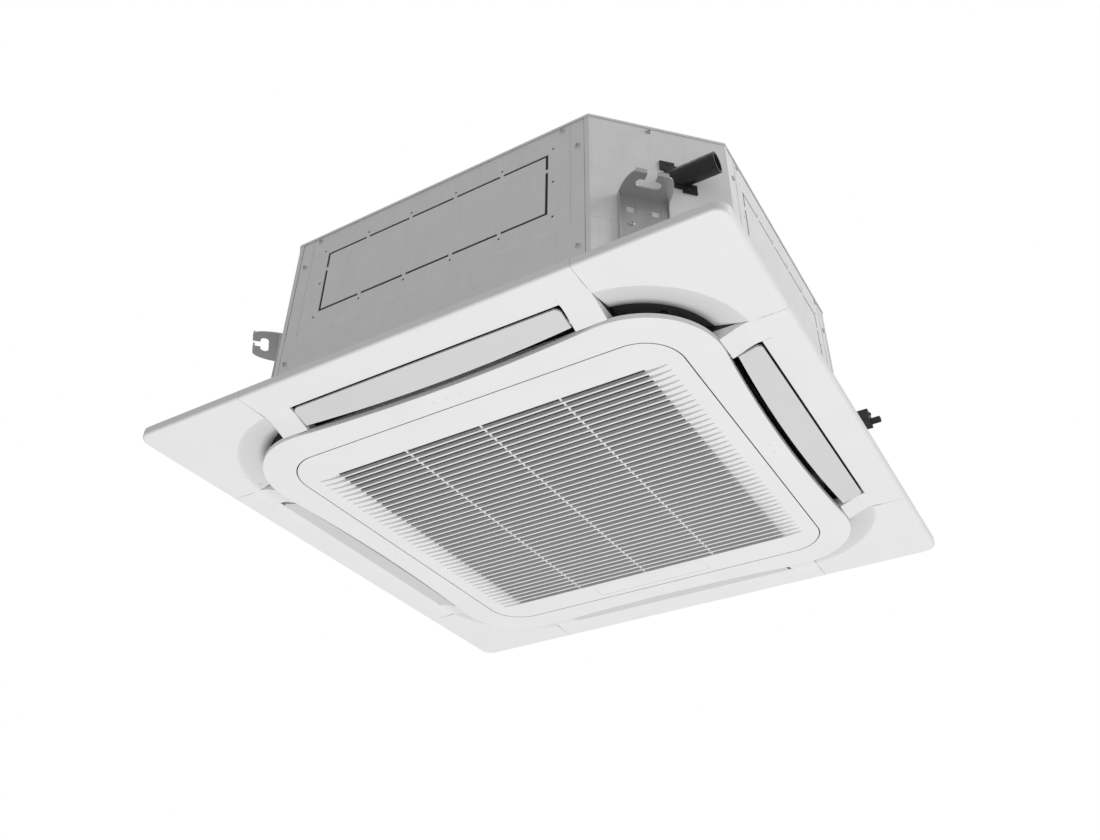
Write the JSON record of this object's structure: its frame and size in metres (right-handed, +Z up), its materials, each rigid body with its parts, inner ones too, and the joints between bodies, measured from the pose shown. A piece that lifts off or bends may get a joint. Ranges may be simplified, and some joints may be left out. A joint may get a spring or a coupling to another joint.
{
  "type": "ceiling_cassette_air_conditioner",
  "caption": "Four-way ceiling cassette air conditioner with a square white panel, swinging outlet vanes and a hinged slotted intake grille",
  "frame": {"origin": "the panel's centre on the ceiling's lower face, where the panel's rim rests against it and the hanging rods hold the unit", "axes": "+Z up into the ceiling, -Y towards the side of the panel with three marks, +X towards the side with two marks"},
  "size_m": [0.95, 0.95, 0.3634],
  "materials": {
    "casing_sheet": "satin paint on thin sheet steel",
    "white_plastic": "fine satin moulding",
    "vane_plastic": "fine satin moulding, slightly greyer",
    "dark_plastic": "satin moulding",
    "grey_foam": "moulded bead foam",
    "zinc_steel": "zinc-coated sheet",
    "screw_steel": "bright zinc plating",
    "coil_aluminium": "thin pressed fins",
    "copper_pipe": "drawn copper tube",
    "black_rubber": "matt rubber",
    "nut_brass": "machined brass",
    "motor_steel": "pressed steel housing",
    "shaft_steel": "ground steel",
    "circuit_board": "green glass laminate",
    "filter_mesh": "fine woven mesh",
    "black_block": "black moulding"
  },
  "bodies": {
    "unit": {"top_plate": "zinc_steel", "wall_front": "casing_sheet", "wall_right": "casing_sheet", "wall_back": "casing_sheet", "wall_left": "casing_sheet", "corner_plate_drain": "casing_sheet", "corner_plate_pipe": "casing_sheet", "corner_plate_rear": "casing_sheet", "corner_plate_left": "casing_sheet", "hanger_drain": "zinc_steel", "hanger_pipe": "zinc_steel", "hanger_rear": "zinc_steel", "hanger_left": "zinc_steel", "casing_screws": "screw_steel", "foam_lining": "grey_foam", "coil_fins": "coil_aluminium", "coil_end_plates": "zinc_steel", "coil_bends": "copper_pipe", "gas_pipe": "copper_pipe", "liquid_pipe": "copper_pipe", "flare_nut": "nut_brass", "pipe_block": "black_block", "cable_gland": "black_rubber", "fan_motor": "motor_steel", "motor_dampers": "black_rubber", "motor_nuts": "screw_steel", "bell_mouth": "dark_plastic", "drain_pan": "grey_foam", "drain_pump": "white_plastic", "float_stem": "white_plastic", "drain_outlet": "black_block", "control_box": "zinc_steel", "control_lid": "zinc_steel", "control_board": "circuit_board", "terminal_block": "black_block", "panel_bolts": "screw_steel", "panel_frame": "white_plastic", "corner_cover_drain": "white_plastic", "corner_cover_pipe": "white_plastic", "corner_cover_rear": "white_plastic", "corner_cover_left": "white_plastic", "centre_frame": "white_plastic", "vane_motor_front": "dark_plastic", "vane_motor_right": "dark_plastic", "vane_motor_back": "dark_plastic", "vane_motor_left": "dark_plastic", "grille_catches": "white_plastic", "panel_seal": "grey_foam"},
    "vane_front": {"vane_front": "vane_plastic"},
    "vane_right": {"vane_right": "vane_plastic"},
    "vane_back": {"vane_back": "vane_plastic"},
    "vane_left": {"vane_left": "vane_plastic"},
    "grille": {"intake_grille": "white_plastic", "blank_plate": "white_plastic", "air_filter": "filter_mesh"},
    "fan": {"motor_shaft": "shaft_steel", "turbo_fan": "dark_plastic", "fan_nut": "screw_steel"},
    "float": {"float": "white_plastic"}
  },
  "joints": [
    {"name": "vane_front_hinge", "type": "hinge", "parent": "unit", "child": "vane_front", "pos_m": [0, -0.388, -0.0159], "axis": [1, 0, 0], "range_deg": [0, 60]},
    {"name": "vane_right_hinge", "type": "hinge", "parent": "unit", "child": "vane_right", "pos_m": [0.388, 0, -0.0159], "axis": [0, 1, 0], "range_deg": [0, 60]},
    {"name": "vane_back_hinge", "type": "hinge", "parent": "unit", "child": "vane_back", "pos_m": [0, 0.388, -0.0159], "axis": [-1, 0, 0], "range_deg": [0, 60]},
    {"name": "vane_left_hinge", "type": "hinge", "parent": "unit", "child": "vane_left", "pos_m": [-0.388, 0, -0.0159], "axis": [0, -1, 0], "range_deg": [0, 60]},
    {"name": "grille_hinge", "type": "hinge", "parent": "unit", "child": "grille", "pos_m": [0, 0.338, -0.0244], "axis": [1, 0, 0], "range_deg": [0, 85]},
    {"name": "fan_spin", "type": "hinge", "parent": "unit", "child": "fan", "pos_m": [0, 0, 0.24], "axis": [0, 0, 1], "continuous": true},
    {"name": "float_slide", "type": "slide", "parent": "unit", "child": "float", "axis": [0, 0, 1], "range_m": [0, 0.012]}
  ]
}
